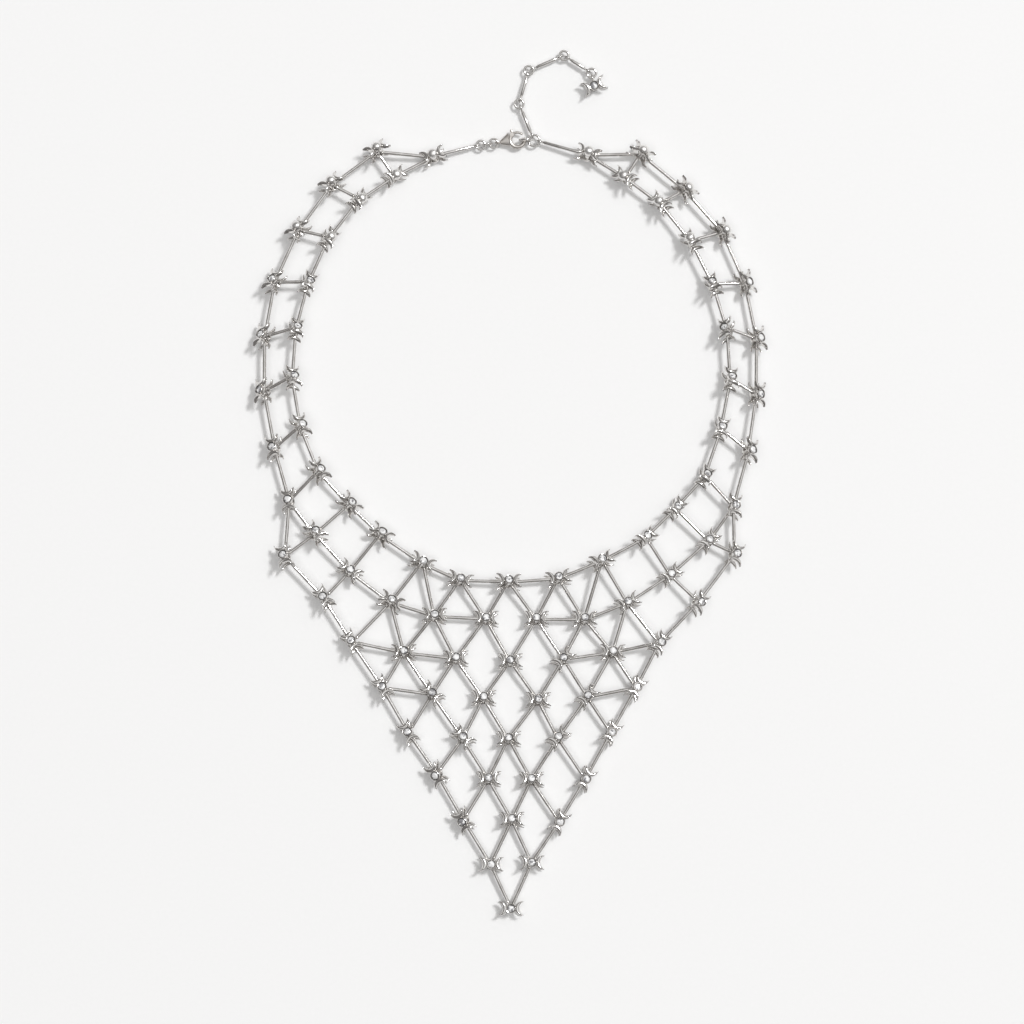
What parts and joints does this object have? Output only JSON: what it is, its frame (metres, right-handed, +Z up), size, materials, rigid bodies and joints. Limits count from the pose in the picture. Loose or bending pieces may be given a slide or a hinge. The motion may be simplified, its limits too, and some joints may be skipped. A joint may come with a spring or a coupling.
{
  "type": "bib necklace",
  "caption": "Silver bib necklace lying flat: a net of small moon-shaped links and straight bars, with a lobster clasp and an extension chain",
  "frame": {"origin": "centre of the outline on the table it lies on", "axes": "+Y toward the clasp, +X to the wearer's left as laid out, +Z up off the table"},
  "size_m": [0.1548, 0.26, 0.0087],
  "materials": {
    "polished_silver": "bright polished silver plate on brass, a little softened by wear"
  },
  "bodies": {
    "root": {"neckline_left": "polished_silver", "neckline_right": "polished_silver", "outer_rail_left": "polished_silver", "outer_rail_right": "polished_silver", "second_row_left": "polished_silver", "second_row_right": "polished_silver", "outer_chevron_left": "polished_silver", "outer_chevron_right": "polished_silver", "middle_chevron": "polished_silver", "inner_chevron": "polished_silver", "end_bar_left": "polished_silver", "end_bar_right": "polished_silver", "clasp_body": "polished_silver", "clasp_rings": "polished_silver", "chain_rings": "polished_silver", "extension_bar_1": "polished_silver", "extension_bar_2": "polished_silver", "extension_bar_3": "polished_silver", "extension_bar_4": "polished_silver", "end_charm": "polished_silver"},
    "clasp_lever": {"clasp_lever": "polished_silver"}
  },
  "joints": [
    {"name": "clasp_lever_hinge", "type": "hinge", "parent": "root", "child": "clasp_lever", "pos_m": [0.00044, 0.10452, 0.0018], "axis": [0, 0, 1], "range_deg": [-15, 0], "stiffness_Nm_per_rad": 0.002}
  ]
}
